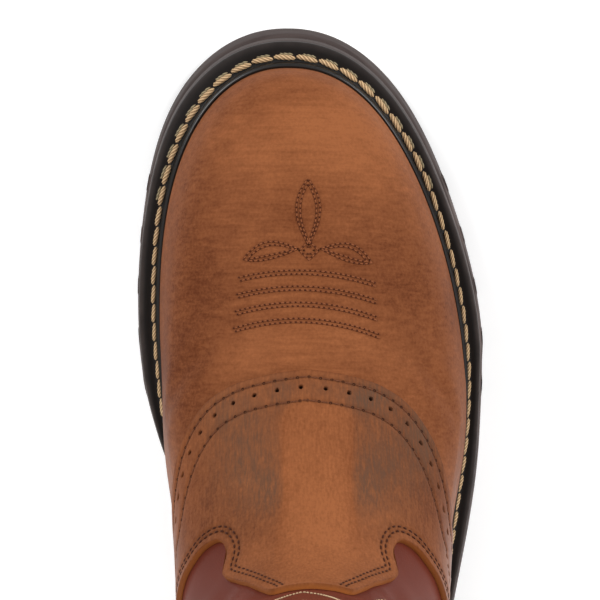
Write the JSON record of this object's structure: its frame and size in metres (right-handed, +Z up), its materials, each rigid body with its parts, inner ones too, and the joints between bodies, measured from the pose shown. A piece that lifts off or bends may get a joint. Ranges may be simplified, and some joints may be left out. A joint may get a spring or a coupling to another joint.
{
  "type": "roper boot",
  "caption": "Right-foot pull-on roper boot with a rounded toe, tan saddle vamp, burgundy shaft, stitched black welt, lugged rubber sole and low heel.",
  "frame": {"origin": "on the floor under the middle of the boot's bounding box", "axes": "+X towards the toe, +Y towards the inner side of the foot, +Z up"},
  "size_m": [0.302, 0.1168, 0.295],
  "materials": {
    "sole_rubber": "matt black-brown rubber, streaked with dust",
    "welt_black": "smooth black, half gloss",
    "insole_leather": "plain natural leather, matt",
    "tan_leather": "oiled pull-up leather, waxy and mottled",
    "burgundy_leather": "smooth dark red-brown leather, half gloss"
  },
  "bodies": {
    "root": {"outsole": "sole_rubber", "heel": "sole_rubber", "welt": "welt_black", "insole": "insole_leather", "upper": "tan_leather", "saddle": "tan_leather", "counter": "tan_leather", "shaft": "burgundy_leather", "side_seam_medial": "burgundy_leather", "side_seam_lateral": "burgundy_leather", "pull_strap_medial": "burgundy_leather", "pull_strap_lateral": "burgundy_leather"}
  },
  "joints": []
}
